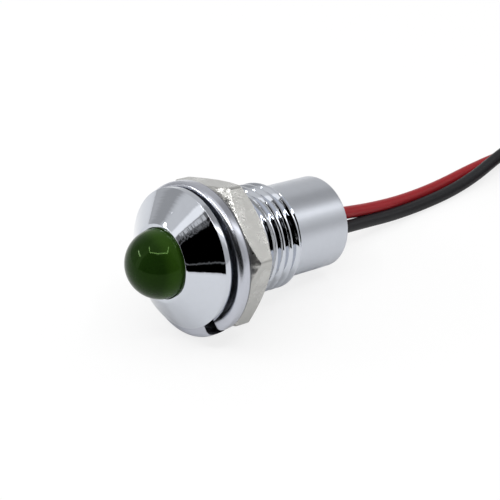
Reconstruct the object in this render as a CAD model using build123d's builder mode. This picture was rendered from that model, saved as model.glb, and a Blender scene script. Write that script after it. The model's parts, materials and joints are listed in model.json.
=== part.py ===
"""Chromed 8 mm panel indicator: 5 mm green lamp in a threaded bezel, with two flying leads.

The part lies on a flat surface (z = 0), front end raised: it rests on a corner of the nut and on the
rear edge of the barrel. Stations are measured along the body axis from the lip of the lamp hole,
positive towards the leads. Across the axis, u runs along +X and v is square to the axis, upwards.
"""
import math
import os

from build123d import *

os.makedirs("parts", exist_ok=True)

# ---- turned body ----
HOLE_R = 2.56            # lamp hole in the bezel
LIP_R = 2.80             # outer edge of the thin lip round the hole
BEZEL_R = 5.05
CONE_END = 1.65          # station where the cone meets the rim
SEAT = 2.12              # rear face of the rim, which seats on the panel
THREAD_R = 4.00          # M8 x 0.75
THREAD_PITCH = 0.75
THREAD_ROOT_R = 3.56
THREAD_START = 5.20      # the cut thread starts inside the nut
THREAD_END = 10.15
THREAD_CHAMFER = 0.35
BARREL_R = 3.50
BODY_LEN = 15.19
BORE_R = 3.00
LAMP_STOP = 5.10         # step in the bore that the lamp's flange sits against
EDGE = 0.08              # broken edges of the turned body

# ---- nut ----
NUT_AF = 10.0
NUT_FRONT = 3.76
NUT_THICK = 2.04
NUT_BORE_R = 4.02        # clears the crests; no thread is cut inside the nut
NUT_TURN = 16.2          # corner angle about the axis, degrees
NUT_CHAMFER = 30.0

# ---- split spring washer ----
WASHER_BORE_R = 4.33
WASHER_BAR = 1.27        # width of the bar, across the ring
WASHER_THICK = 1.15
WASHER_EDGE = 0.26       # worn corners of the bar
WASHER_LEAD = 0.42       # how far the ends are sprung apart
WASHER_PLAY = 0.325      # it hangs on the thread by this much
SPLIT_AT = 319.0         # middle of the slot about the axis, degrees
SPLIT_SLANT = 40.0
SPLIT_GAP = 0.72
END_SPARE = 12.0         # extra turn at each end before the slanted cut, degrees

# ---- lamp ----
LAMP_R = 2.50
DOME_AT = 0.04           # station of the dome's centre
FLANGE_R = 2.90
FLANGE_LEN = 1.00
FLANGE_FLAT = 2.55
FRAME_T = 0.50           # leadframe strip
LEAD_V = 1.27            # half of the 2.54 lead spacing
CUP_R = 0.85
CUP_DEPTH = 0.35
CUP_AT = 2.00            # station of the cup's rim
CHIP = 0.34
CHIP_H = 0.16
BOND_R = 0.04
LEAD_CUT = 8.60          # both leads are cut to this station

# ---- wiring inside the barrel ----
WIRE_D = 1.00
CORE_R = 0.19
RESISTOR_R = 0.78
RESISTOR_LEN = 3.00
RESISTOR_LEG_R = 0.225
RESISTOR_UV = (0.30, 0.90)
RESISTOR_FRONT = 9.30
LAP = 1.10               # soldered overlap
SLEEVE_WALL = 0.12
SLEEVE_SPARE = 0.30      # how far a sleeve runs ahead of its joint
SLEEVE_PLAY = 0.20       # how far it stops short of the insulation
RED_SLEEVE_R = 0.88      # inside radius, round the resistor
RED_SLEEVE_UV = (0.24, 0.90)
BLACK_SLEEVE_R = 0.78
BLACK_SLEEVE_UV = (0.29, -1.075)
CORE_STRIP = 1.40        # bare core inside the barrel
RED_UV = (0.0, 0.0)
BLACK_UV = (0.58, -0.82)
POTTING_IN = 0.12        # potting stops this far inside the barrel's mouth
FIT = 0.01               # play between the lamp and its hole

# ---- leads on the surface, and their coil ----
LEAD_LEN = 150.0
LAY = WIRE_D / 2         # height of a lead that lies on the surface
COIL_AT = (8.6, 34.8)
COIL_R = 5.60            # middle of the turns
COIL_BAND = 4.60         # radial room of one flat layer of turns
LAYER_T = WIRE_D + 0.04  # a layer's height, with a little play round the turns
TIE_T = 0.22
TIE_W = 2.20
TIE_AT = -45.0           # where the tie holds the coil, degrees about it
TIE_HEAD_W = 2.6
TIE_HEAD_T = 1.7
TIP_LEN = 3.20
TIP_AT = 44.0            # where a tip leaves the innermost turn, degrees about the coil
TIP_IN = 40.0            # how far it points inwards from that turn, degrees

# ---- how it lies ----
corner = math.radians(min((NUT_TURN + 60 * k - 270 for k in range(6)), key=abs))
nut_corner_r = NUT_AF / math.sqrt(3)
nut_chamfer_depth = (nut_corner_r - NUT_AF / 2) * math.tan(math.radians(NUT_CHAMFER))
NUT_REAR = NUT_FRONT + NUT_THICK
TILT = math.atan2(nut_corner_r * math.cos(corner) - BARREL_R,
                  BODY_LEN - (NUT_REAR - nut_chamfer_depth))
c, s = math.cos(TILT), math.sin(TILT)
LIP_Y = -(BODY_LEN * c + BARREL_R * s + DOME_AT * c - LAMP_R) / 2
LIP_Z = BODY_LEN * s + BARREL_R * c
LIP = Vector(0, LIP_Y, LIP_Z)
REARWARD = Vector(0, c, -s)
SECTION = Plane(origin=LIP, x_dir=REARWARD, z_dir=(1, 0, 0))     # x is the station, y is v
BODY_AXIS = Axis(LIP, REARWARD)


def across(station, turn=0.0):
    """Plane square to the body axis, looking rearwards, its x direction at an angle about the axis."""
    a = math.radians(turn)
    x_dir = Vector(math.cos(a), math.sin(a) * s, math.sin(a) * c)
    return Plane(origin=LIP + REARWARD * station, x_dir=x_dir, z_dir=REARWARD)


def spot(station, u, v):
    """Point at a station, u along X and v square to the axis."""
    return Vector(u, LIP_Y + station * c + v * s, LIP_Z - station * s + v * c)


def rod(name, start, stop, u, v, radius):
    """Round rod along the body axis."""
    with BuildPart() as piece:
        with BuildSketch(Plane(origin=spot(start, u, v), x_dir=(1, 0, 0), z_dir=REARWARD)):
            Circle(radius)
        extrude(amount=stop - start)
    piece.part.label = name
    return piece


def save(piece, name):
    """Label a finished piece and write its STEP file."""
    piece.part.label = name
    export_step(piece.part, f"parts/{name}.step")
    print(f"{name}: {piece.part.volume:.3f} mm3, {len(piece.part.solids())} solid")


# ---- bezel, threaded shank and barrel in one turned piece ----
with BuildPart() as thread_groove:
    with BuildLine() as thread_path:
        Helix(pitch=THREAD_PITCH, height=THREAD_END - THREAD_START + THREAD_PITCH, radius=THREAD_R,
              center=LIP + REARWARD * THREAD_START, direction=REARWARD)
    groove_start = thread_path.line @ 0
    radial = groove_start - (LIP + REARWARD * THREAD_START)
    with BuildSketch(Plane(origin=groove_start, x_dir=radial, z_dir=thread_path.line % 0)):
        crest_half = THREAD_PITCH * 0.438 + 0.06 * math.tan(math.radians(30))
        root_half = crest_half - (THREAD_R + 0.06 - THREAD_ROOT_R) * math.tan(math.radians(30))
        with BuildLine():
            Polyline((0.06, -crest_half), (0.06, crest_half), (THREAD_ROOT_R - THREAD_R, root_half),
                     (THREAD_ROOT_R - THREAD_R, -root_half), close=True)
        make_face()
    sweep(path=thread_path.line, is_frenet=True)
    split(bisect_by=Plane(origin=LIP + REARWARD * THREAD_END, z_dir=REARWARD), keep=Keep.BOTTOM)

with BuildPart() as bezel_body:
    with BuildSketch(SECTION):
        with BuildLine():
            Polyline(
                (0, HOLE_R), (0, LIP_R), (CONE_END, BEZEL_R), (SEAT - EDGE, BEZEL_R),
                (SEAT, BEZEL_R - EDGE), (SEAT, THREAD_R), (THREAD_END - THREAD_CHAMFER, THREAD_R),
                (THREAD_END, THREAD_R - THREAD_CHAMFER), (THREAD_END, BARREL_R),
                (BODY_LEN - EDGE, BARREL_R), (BODY_LEN, BARREL_R - EDGE), (BODY_LEN, BORE_R),
                (LAMP_STOP, BORE_R), (LAMP_STOP, HOLE_R), close=True,
            )
        make_face()
    revolve(axis=BODY_AXIS)
    add(thread_groove.part, mode=Mode.SUBTRACT)

# ---- hexagon nut, corners turned off at 30 degrees on both faces ----
with BuildPart() as hex_nut:
    with BuildSketch(across(NUT_FRONT, NUT_TURN)):
        RegularPolygon(NUT_AF / 2, 6, major_radius=False)
        Circle(NUT_BORE_R, mode=Mode.SUBTRACT)
    extrude(amount=NUT_THICK)
    with BuildSketch(SECTION):
        with BuildLine():
            Polyline(
                (NUT_FRONT, 0), (NUT_FRONT, NUT_AF / 2), (NUT_FRONT + nut_chamfer_depth, nut_corner_r),
                (NUT_REAR - nut_chamfer_depth, nut_corner_r), (NUT_REAR, NUT_AF / 2), (NUT_REAR, 0),
                close=True,
            )
        make_face()
    revolve(axis=BODY_AXIS, mode=Mode.INTERSECT)
    chamfer(hex_nut.edges().filter_by(GeomType.CIRCLE).group_by(SortBy.RADIUS)[0], 0.16)

# ---- split spring washer: a rounded bar coiled just over one lead, then slotted on the slant ----
washer_mid_r = WASHER_BORE_R + WASHER_BAR / 2
washer_centre = spot(SEAT + WASHER_THICK / 2 + 0.005, 0, 0) - Vector(0, 0, WASHER_PLAY)
washer_turn = math.radians(SPLIT_AT)
split_dir = Vector(math.cos(washer_turn), math.sin(washer_turn) * s, math.sin(washer_turn) * c)
WASHER_PLANE = Plane(origin=washer_centre, x_dir=split_dir, z_dir=REARWARD)
with BuildPart() as washer_half:
    with BuildLine() as washer_path:
        Helix(pitch=WASHER_LEAD, height=WASHER_LEAD * (180 + END_SPARE) / 360, radius=washer_mid_r)
    with BuildSketch(Plane(origin=washer_path.line @ 0, x_dir=(1, 0, 0), z_dir=washer_path.line % 0)):
        bar = Rectangle(WASHER_BAR, WASHER_THICK)
        chamfer(bar.vertices(), WASHER_EDGE)
    sweep(path=washer_path.line, is_frenet=True)

with BuildPart() as lock_washer:
    for turned, side in ((-END_SPARE, Align.MAX), (180, Align.MIN)):
        with BuildPart(mode=Mode.PRIVATE) as washer_end:
            with Locations(Location((0, 0, WASHER_LEAD * turned / 360), (0, 0, turned))):
                add(washer_half.part)
            slot_y = SPLIT_GAP / 2 if side == Align.MAX else -SPLIT_GAP / 2
            with Locations(Location((washer_mid_r, 0, WASHER_LEAD / 2), (SPLIT_SLANT, 0, 0))
                           * Location((0, slot_y, 0))):
                Box(2 * WASHER_BAR, 4 * WASHER_THICK, 6 * WASHER_THICK,
                    align=(Align.CENTER, side, Align.CENTER), mode=Mode.SUBTRACT)
        with Locations(WASHER_PLANE.location):
            add(washer_end.part)

# ---- lamp: leadframe, chip and bond wire cast into the green lens ----
FLANGE_END = LAMP_STOP + FLANGE_LEN
chip_top = CUP_AT + CUP_DEPTH - CHIP_H
with BuildPart() as led_cathode_frame:
    with BuildSketch(SECTION):
        with BuildLine():
            Polyline(
                (CUP_AT, 0.62), (CUP_AT, CUP_R), (CUP_AT + 0.9, CUP_R), (CUP_AT + 0.9, 0),
                (CUP_AT + CUP_DEPTH, 0), (CUP_AT + CUP_DEPTH, 0.34), close=True,
            )
        make_face()
    revolve(axis=BODY_AXIS)
    with BuildSketch(SECTION):
        with BuildLine():
            Polyline(
                (CUP_AT + 0.6, -0.80), (CUP_AT + 0.6, 0.45), (CUP_AT + 1.5, 0.45),
                (CUP_AT + 2.6, -LEAD_V + FRAME_T / 2), (LEAD_CUT, -LEAD_V + FRAME_T / 2),
                (LEAD_CUT, -LEAD_V - FRAME_T / 2), (CUP_AT + 2.2, -LEAD_V - FRAME_T / 2), close=True,
            )
        make_face()
    extrude(amount=FRAME_T / 2, both=True)

with BuildPart() as led_anode_frame:
    with BuildSketch(SECTION):
        with BuildLine():
            Polyline(
                (CUP_AT + 0.2, LEAD_V - 0.22), (CUP_AT + 0.2, LEAD_V + 0.45),
                (CUP_AT + 1.0, LEAD_V + 0.45), (CUP_AT + 1.5, LEAD_V + FRAME_T / 2),
                (LEAD_CUT, LEAD_V + FRAME_T / 2), (LEAD_CUT, LEAD_V - FRAME_T / 2),
                (CUP_AT + 1.2, LEAD_V - FRAME_T / 2), close=True,
            )
        make_face()
    extrude(amount=FRAME_T / 2, both=True)

with BuildPart() as led_chip:
    with BuildSketch(across(chip_top)):
        Rectangle(CHIP, CHIP)
    extrude(amount=CHIP_H)

with BuildPart() as led_bond_wire:
    with BuildLine(SECTION) as bond_path:
        Polyline((chip_top, 0), (chip_top - 0.55, 0.30), (CUP_AT - 0.25, LEAD_V), (CUP_AT + 0.2, LEAD_V))
    with BuildSketch(Plane(origin=bond_path.line @ 0, z_dir=bond_path.line % 0)):
        Circle(BOND_R)
    sweep(path=bond_path.line, transition=Transition.RIGHT)
    add(led_chip.part, mode=Mode.SUBTRACT)

with BuildPart() as led_lens:
    with BuildSketch(SECTION):
        with BuildLine():
            Polyline(
                (DOME_AT, LAMP_R), (LAMP_STOP + FIT, LAMP_R), (LAMP_STOP + FIT, FLANGE_R),
                (FLANGE_END, FLANGE_R), (FLANGE_END, 0), (DOME_AT - LAMP_R, 0),
            )
            RadiusArc((DOME_AT - LAMP_R, 0), (DOME_AT, LAMP_R), LAMP_R)
        make_face()
    revolve(axis=BODY_AXIS)
    with BuildSketch(across(LAMP_STOP)):
        with Locations((0, FLANGE_FLAT + 1)):
            Rectangle(8, 2)
    extrude(amount=-FLANGE_LEN - 2, both=True, mode=Mode.SUBTRACT)
    for inner in (led_cathode_frame, led_anode_frame, led_chip, led_bond_wire):
        add(inner.part, mode=Mode.SUBTRACT)

# ---- series resistor and soldered joints, each under its own sleeve ----
ru, rv = RESISTOR_UV
resistor_end = RESISTOR_FRONT + RESISTOR_LEN
front_leg_start = LEAD_CUT - LAP
rear_leg_end = resistor_end + 0.30 + LAP
red_core_start = rear_leg_end - LAP
red_core_end = red_core_start + CORE_STRIP
black_core_start = LEAD_CUT - LAP
black_core_end = black_core_start + CORE_STRIP

with BuildPart() as resistor_body:
    with BuildSketch(Plane(origin=spot(RESISTOR_FRONT, ru, rv), x_dir=(1, 0, 0), z_dir=REARWARD)):
        Circle(RESISTOR_R)
    extrude(amount=RESISTOR_LEN)
    chamfer(resistor_body.edges().filter_by(GeomType.CIRCLE), 0.25)
resistor_leg_front = rod("resistor_leg_front", front_leg_start, RESISTOR_FRONT, ru, rv, RESISTOR_LEG_R)
resistor_leg_rear = rod("resistor_leg_rear", resistor_end, rear_leg_end, ru, rv, RESISTOR_LEG_R)
black_u, black_v = BLACK_UV
black_core = rod("black_core", black_core_start, black_core_end, black_u, black_v, CORE_R)
red_u, red_v = RED_UV
red_core_u, red_core_v = 0.02, rv - math.sqrt((RESISTOR_LEG_R + CORE_R + 0.01) ** 2 - (ru - 0.02) ** 2)
red_core = rod("red_core", red_core_start, red_core_end, red_core_u, red_core_v, CORE_R)


def solder(name, start, stop, u0, v0, u1, v1, radius, parts):
    """Rounded bead of solder round two lapped conductors, cut to fit them."""
    with BuildPart() as bead:
        with BuildSketch(Plane(origin=spot(start, (u0 + u1) / 2, (v0 + v1) / 2), x_dir=(1, 0, 0),
                               z_dir=REARWARD)):
            angle = math.degrees(math.atan2(v1 - v0, u1 - u0))
            SlotCenterToCenter(math.hypot(u1 - u0, v1 - v0), 2 * radius, rotation=-angle)
        extrude(amount=stop - start)
        for conductor in parts:
            add(conductor.part, mode=Mode.SUBTRACT)
    bead.part.label = name
    return bead


anode_solder = solder("anode_solder", front_leg_start + 0.1, LEAD_CUT - 0.05, 0, LEAD_V, ru, rv, 0.42,
                      (led_anode_frame, resistor_leg_front))
red_solder = solder("red_solder", red_core_start + 0.1, rear_leg_end - 0.05, red_core_u, red_core_v,
                    ru, rv, 0.32, (resistor_leg_rear, red_core))
black_solder = solder("black_solder", black_core_start + 0.1, LEAD_CUT - 0.05, 0, -LEAD_V, black_u,
                      black_v, 0.40, (led_cathode_frame, black_core))

# ---- the two leads: out along the axis, down onto the surface, and away beside each other ----
RED_EXIT = red_core_end
BLACK_EXIT = black_core_end
red_start = spot(RED_EXIT, red_core_u, red_core_v)
black_start = spot(BLACK_EXIT, black_u, black_v)
coil_x, coil_y = COIL_AT
entry_x = coil_x - (COIL_R + COIL_BAND / 2 - WIRE_D / 2)
red_lay, black_lay = TIE_T + LAYER_T / 2, TIE_T + 1.5 * LAYER_T
red_points = [
    red_start, spot(20.6, 0.0, -0.05), Vector(0.0, 20.9, LAY), Vector(0.05, 28.2, LAY),
    Vector(entry_x, coil_y - 1.0, red_lay),
]
black_points = [
    black_start, spot(19.0, black_u + 0.02, black_v - 0.03), Vector(0.75, 17.6, LAY),
    Vector(1.34, 24.2, LAY), Vector(1.12, 30.0, black_lay + 0.04),
    Vector(entry_x, coil_y - 1.0, black_lay),
]


def lead(name, points):
    """Insulated lead along straight runs joined by tangent arcs."""
    radii = []
    for before, here, after in zip(points, points[1:], points[2:]):
        a, b = here - before, after - here
        half_turn = math.radians(a.get_angle(b)) / 2
        radii.append(0.45 * min(a.length, b.length) / math.tan(half_turn))
    with BuildPart() as tube:
        with BuildLine() as route:
            FilletPolyline(*points, radius=radii)
        with BuildSketch(Plane(origin=route.line @ 0, z_dir=route.line % 0)):
            Circle(WIRE_D / 2)
        sweep(path=route.line)
    run = route.wires()[0].length
    print(f"{name}: length {run:.2f}, radii {[round(r, 1) for r in radii]}, "
          f"volume {tube.part.volume:.3f} of {math.pi * (WIRE_D / 2) ** 2 * run:.3f}")
    return tube, run


red_lead, red_run = lead("red_lead", red_points)
black_lead, black_run = lead("black_lead", black_points)


def coil_layer(low):
    """Outer shape of one flat layer of turns."""
    with BuildPart() as layer:
        with BuildSketch(Plane.XY.offset(low)):
            with Locations(COIL_AT):
                Circle(COIL_R + COIL_BAND / 2)
                Circle(COIL_R - COIL_BAND / 2, mode=Mode.SUBTRACT)
        extrude(amount=LAYER_T)
    return layer


red_coil = coil_layer(TIE_T)
black_coil = coil_layer(TIE_T + LAYER_T)
for tube, layer in ((red_lead, red_coil), (black_lead, black_coil)):
    with tube:
        add(layer.part, mode=Mode.SUBTRACT)
print(f"left for each coil: {LEAD_LEN - red_run:.1f} and {LEAD_LEN - black_run:.1f} mm, "
      f"{(LEAD_LEN - red_run) / (2 * math.pi * COIL_R):.2f} turns")

tie_turn = math.radians(TIE_AT)
TIE_PLANE = Plane(origin=(coil_x, coil_y, TIE_T + LAYER_T),
                  x_dir=(math.cos(tie_turn), math.sin(tie_turn), 0),
                  z_dir=(math.sin(tie_turn), -math.cos(tie_turn), 0))
with BuildPart() as coil_tie:
    with BuildSketch(TIE_PLANE):
        with Locations((COIL_R, 0)):
            Rectangle(COIL_BAND + 2 * TIE_T, 2 * LAYER_T + 2 * TIE_T)
            Rectangle(COIL_BAND, 2 * LAYER_T, mode=Mode.SUBTRACT)
    extrude(amount=TIE_W / 2, both=True)
    with BuildSketch(TIE_PLANE):
        with Locations((COIL_R + COIL_BAND / 2 + TIE_T + TIE_HEAD_T / 2, 0)):
            Rectangle(TIE_HEAD_T, 2 * LAYER_T + TIE_T)
    extrude(amount=TIE_HEAD_W / 2, both=True)
    add(red_coil.part, mode=Mode.SUBTRACT)
    add(black_coil.part, mode=Mode.SUBTRACT)


def tip(name, low, layer):
    """Bare tinned end of a lead, standing into the middle of the coil."""
    at, heading = math.radians(TIP_AT), math.radians(TIP_AT - 90 - TIP_IN)
    inner = COIL_R - COIL_BAND / 2
    start = Vector(coil_x + inner * math.cos(at), coil_y + inner * math.sin(at), low + LAYER_T / 2)
    with BuildPart() as end:
        with BuildSketch(Plane(origin=start, z_dir=(math.cos(heading), math.sin(heading), 0))):
            Circle(CORE_R)
        extrude(amount=TIP_LEN)
        extrude(end.faces().sort_by(Axis.Y)[-1], amount=CORE_R)
        add(layer.part, mode=Mode.SUBTRACT)
    end.part.label = name
    return end


red_tip = tip("red_tip", TIE_T, red_coil)
black_tip = tip("black_tip", TIE_T + LAYER_T, black_coil)


def sleeve(start, stop, u, v, inner_r):
    """Shrunk sleeve round a joint: the open tube, and the whole room that it takes up."""
    room = rod("room", start, stop, u, v, inner_r + SLEEVE_WALL)
    with BuildPart() as cover:
        add(room.part)
        add(rod("inside", start, stop, u, v, inner_r).part, mode=Mode.SUBTRACT)
    return cover, room


red_sleeve, red_room = sleeve(front_leg_start - SLEEVE_SPARE, RED_EXIT - SLEEVE_PLAY, RED_SLEEVE_UV[0],
                              RED_SLEEVE_UV[1], RED_SLEEVE_R)
black_sleeve, black_room = sleeve(black_core_start - SLEEVE_SPARE, BLACK_EXIT - SLEEVE_PLAY,
                                  BLACK_SLEEVE_UV[0], BLACK_SLEEVE_UV[1], BLACK_SLEEVE_R)

# ---- potting fills the barrel behind the lamp, round the sleeves ----
with BuildPart() as potting:
    with BuildSketch(across(FLANGE_END)):
        Circle(BORE_R)
    extrude(amount=BODY_LEN - POTTING_IN - FLANGE_END)
    for piece in (red_room, black_room, led_anode_frame, led_cathode_frame, red_core, black_core,
                  red_lead, black_lead):
        add(piece.part, mode=Mode.SUBTRACT)

pieces = {
    "bezel_body": bezel_body, "lock_washer": lock_washer, "hex_nut": hex_nut, "led_lens": led_lens,
    "led_cathode_frame": led_cathode_frame, "led_anode_frame": led_anode_frame, "led_chip": led_chip,
    "led_bond_wire": led_bond_wire, "resistor_body": resistor_body,
    "resistor_leg_front": resistor_leg_front, "resistor_leg_rear": resistor_leg_rear,
    "anode_solder": anode_solder, "red_solder": red_solder, "black_solder": black_solder,
    "red_core": red_core, "black_core": black_core, "red_sleeve": red_sleeve,
    "black_sleeve": black_sleeve, "potting": potting, "red_lead": red_lead, "black_lead": black_lead,
    "red_coil": red_coil, "black_coil": black_coil, "coil_tie": coil_tie, "red_tip": red_tip,
    "black_tip": black_tip,
}
for piece_name, piece in pieces.items():
    save(piece, piece_name)
print(f"tilt {math.degrees(TILT):.3f} deg, lip at y {LIP_Y:.3f} z {LIP_Z:.3f}")
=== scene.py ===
"""Panel indicator lamp with two flying leads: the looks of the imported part.

Sizes are in millimetres about the turned body's own axis, as on a workshop drawing: X to the side,
Y downwards and Z along the bore towards the leads. Each finished mesh is placed in the row frame,
in metres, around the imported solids.
"""
import json
import logging
import math
from dataclasses import dataclass
from enum import Enum
from typing import Callable, Iterable, Sequence

import bmesh
import bpy
from mathutils import Matrix, Vector


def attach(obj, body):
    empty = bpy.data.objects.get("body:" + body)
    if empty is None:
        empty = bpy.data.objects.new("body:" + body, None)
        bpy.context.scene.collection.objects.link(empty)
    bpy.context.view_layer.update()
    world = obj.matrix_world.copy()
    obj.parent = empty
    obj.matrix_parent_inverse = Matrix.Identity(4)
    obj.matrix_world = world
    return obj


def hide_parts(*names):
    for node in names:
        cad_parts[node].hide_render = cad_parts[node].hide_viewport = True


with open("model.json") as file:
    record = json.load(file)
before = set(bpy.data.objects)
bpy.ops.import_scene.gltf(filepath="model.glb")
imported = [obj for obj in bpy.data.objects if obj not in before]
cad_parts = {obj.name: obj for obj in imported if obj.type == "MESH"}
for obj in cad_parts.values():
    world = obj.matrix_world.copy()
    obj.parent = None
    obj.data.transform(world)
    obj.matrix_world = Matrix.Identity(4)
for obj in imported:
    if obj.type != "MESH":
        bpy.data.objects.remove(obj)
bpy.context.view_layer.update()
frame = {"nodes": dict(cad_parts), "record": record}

MM = 0.001
ROOT = "root"
# vertex attribute that marks where shade is painted into the colour
PAINTED_SHADE = "painted_shade"
WHITE = (1.0, 1.0, 1.0, 1.0)

log = logging.getLogger("indicator")

Colour = tuple[float, float, float]
Ring = tuple[float, float]
Edges = list[bmesh.types.BMEdge]


# ---------------------------------------------------------------------------- shader building


class Term:
    """A shader socket that takes arithmetic; each operator adds its Math node."""

    def __init__(self, nodes: "Nodes", socket: bpy.types.NodeSocket) -> None:
        """Wrap one output socket of a node tree."""
        self.nodes = nodes
        self.socket = socket

    def maths(self, operation: str, *others: "Term | float") -> "Term":
        """Add a Math node.

        Args:
            operation: the Math node's operation.
            others: its further inputs, in order.

        Returns:
            The result as a new term.
        """
        inputs = dict(enumerate((self, *others)))
        return self.nodes.term("ShaderNodeMath", {"operation": operation}, inputs)

    def __add__(self, other: "Term | float") -> "Term":
        """Sum."""
        return self.maths("ADD", other)

    __radd__ = __add__

    def __mul__(self, other: "Term | float") -> "Term":
        """Product."""
        return self.maths("MULTIPLY", other)

    def __sub__(self, other: "Term | float") -> "Term":
        """Difference."""
        return self.maths("SUBTRACT", other)

    def __rsub__(self, other: "Term | float") -> "Term":
        """Difference from a number."""
        return self.maths("MULTIPLY_ADD", -1.0, other)

    def __pow__(self, other: "Term | float") -> "Term":
        """Power."""
        return self.maths("POWER", other)

    def step(self, start: float, stop: float, low: float = 0.0, high: float = 1.0) -> "Term":
        """Ease from low at start to high at stop, flat outside them.

        Args:
            start: value at which the result is low.
            stop: value at which the result is high.
            low: result at the start.
            high: result at the stop.

        Returns:
            The eased value.
        """
        if start > stop:
            start, stop, low, high = stop, start, high, low
        inputs = {"Value": self, "From Min": start, "From Max": stop, "To Min": low, "To Max": high}
        settings = {"interpolation_type": "SMOOTHSTEP", "clamp": True}
        return self.nodes.term("ShaderNodeMapRange", settings, inputs)


class Nodes:
    """A material's or a world's node tree, filled through one method."""

    def __init__(self, tree: bpy.types.NodeTree) -> None:
        """Start an empty tree."""
        self.tree = tree
        self.tree.nodes.clear()

    def add(self, kind: str, settings: dict | None = None,
            inputs: dict | None = None) -> bpy.types.Node:
        """Add a node.

        Args:
            kind: the node's type.
            settings: its properties, set first; "stops" gives a ramp's positions and colours.
            inputs: its sockets' values or terms, by name or index.

        Returns:
            The node.
        """
        node = self.tree.nodes.new(kind)
        for name, value in (settings or {}).items():
            if name == "stops":
                self._fill_ramp(node.color_ramp, value)
            else:
                setattr(node, name, value)
        for key, value in (inputs or {}).items():
            if isinstance(value, Term):
                self.tree.links.new(value.socket, node.inputs[key])
            else:
                node.inputs[key].default_value = value
        return node

    def term(self, kind: str, settings: dict | None = None, inputs: dict | None = None,
             output: str | int = 0) -> Term:
        """Add a node and take one of its outputs.

        Args:
            kind: the node's type.
            settings: its properties.
            inputs: its sockets' values or terms.
            output: name or index of the output.

        Returns:
            The output as a term.
        """
        return Term(self, self.add(kind, settings, inputs).outputs[output])

    @staticmethod
    def _fill_ramp(ramp: bpy.types.ColorRamp, stops: Sequence[tuple[float, Colour]]) -> None:
        """Set a ramp's stops."""
        while len(ramp.elements) < len(stops):
            ramp.elements.new(1.0)
        for element, (position, colour) in zip(ramp.elements, stops):
            element.position = position
            element.color = (*colour, 1.0)

    def mix_colour(self, factor: Term | float, low: Term | Colour, high: Term | Colour) -> Term:
        """Blend two colours.

        Args:
            factor: share of the high colour.
            low: colour at factor 0.
            high: colour at factor 1.

        Returns:
            The blended colour.
        """
        ends = [end if isinstance(end, Term) else (*end, 1.0) for end in (low, high)]
        inputs = {0: factor, 6: ends[0], 7: ends[1]}
        return self.term("ShaderNodeMix", {"data_type": "RGBA"}, inputs, 2)

    def noise(self, at: Term, scale: float, detail: float = 2.0, roughness: float = 0.5) -> Term:
        """Add a noise texture.

        Args:
            at: the place that it is read at.
            scale: features in each unit of that place.
            detail: octaves.
            roughness: strength of the finer octaves.

        Returns:
            A value of about 0 to 1.
        """
        inputs = {"Vector": at, "Scale": scale, "Detail": detail, "Roughness": roughness}
        return self.term("ShaderNodeTexNoise", {}, inputs, "Fac")

    def vector(self, x: Term | float, y: Term | float, z: Term | float) -> Term:
        """Join three terms or numbers.

        Args:
            x: first component.
            y: second component.
            z: third component.

        Returns:
            The vector.
        """
        return self.term("ShaderNodeCombineXYZ", {}, {0: x, 1: y, 2: z})

    def bump(self, height: Term, depth_mm: float) -> Term:
        """Turn a height into a normal.

        Args:
            height: height of 0 to 1.
            depth_mm: the real depth that a height of 1 stands for.

        Returns:
            The bent normal.
        """
        inputs = {"Strength": 1.0, "Distance": depth_mm * MM, "Height": height}
        return self.term("ShaderNodeBump", {}, inputs)


# ---------------------------------------------------------------------------- places


class Lie:
    """How the turned body lies in the row frame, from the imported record."""

    seat_station: float = 2.12

    def __init__(self) -> None:
        """Read the panel seat's place and axis."""
        seat = next(m for m in frame["record"]["mounts"] if m["name"] == "panel_seat")
        self.rearward = Vector(seat["axis"]).normalized()
        self.up = Vector((0.0, -self.rearward.z, self.rearward.y))
        self.lip = Vector(seat["pos_m"]) / MM - self.rearward * self.seat_station
        turn = Matrix((Vector((1, 0, 0)), -self.up, self.rearward)).transposed()
        self.turn = turn
        self.matrix = Matrix.Scale(MM, 4) @ Matrix.Translation(self.lip) @ turn.to_4x4()

    def spot(self, station: float, u: float, v: float) -> Vector:
        """Find a point on or near the turned body.

        Args:
            station: distance behind the lip, along the axis.
            u: distance from the axis along X.
            v: distance from the axis upwards, square to it.

        Returns:
            The point in metres in the row frame.
        """
        return self.matrix @ Vector((u, -v, station))

    def cylinder(self, nodes: Nodes) -> tuple[Term, Term, Term, Term]:
        """Give a material the body's own coordinates.

        Args:
            nodes: the material's tree.

        Returns:
            The place in millimetres about the axis, the radius, the angle in turns and the
            station.
        """
        back = self.turn.transposed()
        place = nodes.term("ShaderNodeMapping", {}, {
            "Vector": nodes.term("ShaderNodeTexCoord", {}, {}, "Object"),
            "Location": -(back @ self.lip), "Rotation": back.to_euler(), "Scale": (1 / MM,) * 3})
        parts = nodes.add("ShaderNodeSeparateXYZ", {}, {0: place})
        x, y, station = (Term(nodes, parts.outputs[i]) for i in range(3))
        radius = (x * x + y * y) ** 0.5
        angle = y.maths("ARCTAN2", x) * (0.5 / math.pi)
        return place, radius, angle, station


LIE = Lie()


# ---------------------------------------------------------------------------- finishes


class Slot(Enum):
    """Material slots of the record."""

    CHROME = "bezel_chrome"
    WASHER = "washer_steel"
    NUT = "nut_nickel"
    LENS = "lens_green"
    STRIP = "leadframe_steel"
    CHIP = "chip_crystal"
    GOLD = "bond_gold"
    RESISTOR = "resistor_ceramic"
    SOLDER = "solder_tin"
    SLEEVE = "sleeve_shrink"
    POTTING = "potting_epoxy"
    RED = "red_pvc"
    BLACK = "black_pvc"
    CORE = "core_tin"
    TIE = "tie_nylon"


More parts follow.
